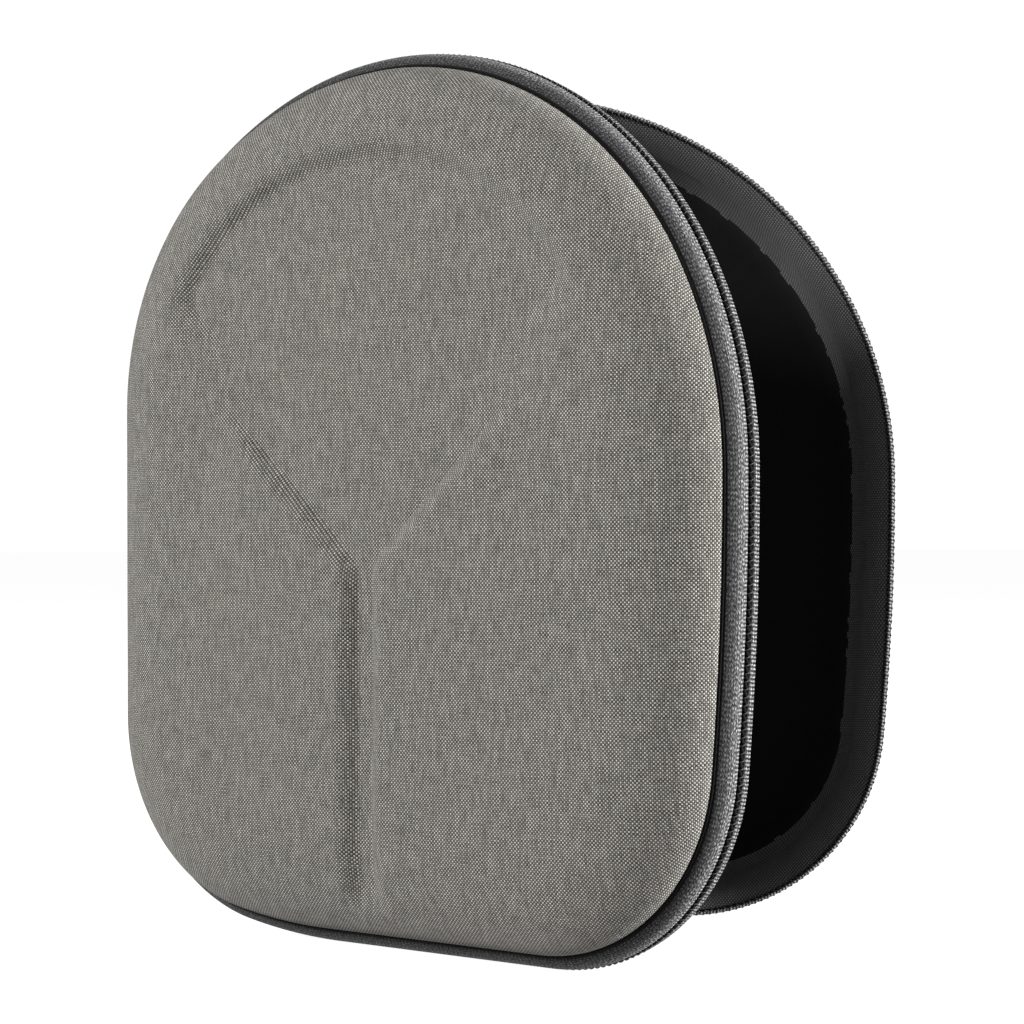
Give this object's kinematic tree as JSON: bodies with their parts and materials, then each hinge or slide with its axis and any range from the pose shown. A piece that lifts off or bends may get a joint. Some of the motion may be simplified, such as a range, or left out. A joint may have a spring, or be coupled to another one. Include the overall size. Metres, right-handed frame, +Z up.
{
  "type": "headphone carrying case",
  "caption": "Semi-hard clamshell carrying case for over-ear headphones: two moulded fabric halves on a fabric hinge, unzipped and standing part open like a book.",
  "frame": {"origin": "middle of the footprint at the level the case stands on, at the rest opening angle", "axes": "+Z up along the hinge line, the flat outer face of the back half faces +Y, the embossed front half opens towards -Y, hinge on the -X side"},
  "size_m": [0.2274, 0.1706, 0.2452],
  "materials": {
    "shell_fabric": "grey melange plain-weave cloth bonded to the foam, matt",
    "foam": "moulded closed-cell foam, matt",
    "lining_fabric": "dark grey plain-weave lining cloth, slight sheen",
    "zip_tape": "woven polyester zip tape, grey with darker edge",
    "coil_nylon": "nylon coil, satin",
    "thread": "black twisted sewing thread",
    "stop_metal": "crimped stop, dark satin paint",
    "slider_metal": "die-cast slider, dark gunmetal satin paint",
    "pin_metal": "small steel pin, satin"
  },
  "bodies": {
    "back_half": {"back_cover": "shell_fabric", "back_core": "foam", "back_lining": "lining_fabric", "back_zip_tape": "zip_tape", "back_coil": "coil_nylon", "back_chain_stitch": "thread", "back_seam_thread": "thread", "spine_outer_back": "zip_tape", "spine_inner_back": "lining_fabric", "back_top_stop": "stop_metal", "bottom_stop": "stop_metal"},
    "front_half": {"front_cover": "shell_fabric", "front_core": "foam", "front_lining": "lining_fabric", "front_zip_tape": "zip_tape", "front_coil": "coil_nylon", "front_chain_stitch": "thread", "front_seam_thread": "thread", "spine_outer_front": "zip_tape", "spine_inner_front": "lining_fabric", "front_top_stop": "stop_metal"},
    "slider": {"slider_body": "slider_metal", "slider_bridge": "slider_metal", "slider_pin": "pin_metal"},
    "pull": {"pull_tab": "slider_metal"}
  },
  "joints": [
    {"name": "lid_hinge", "type": "hinge", "parent": "back_half", "child": "front_half", "pos_m": [-0.11076, 0.05135, 0.125], "axis": [0, 0, -1], "range_deg": [-34.4, 145.6]},
    {"name": "slider_run", "type": "slide", "parent": "back_half", "child": "slider", "axis": [0, 0, -1], "range_m": [0, 0.012]},
    {"name": "pull_swing", "type": "hinge", "parent": "slider", "child": "pull", "pos_m": [-0.11216, 0.05135, 0.084], "axis": [0, 1, 0], "range_deg": [-4, 170]}
  ]
}
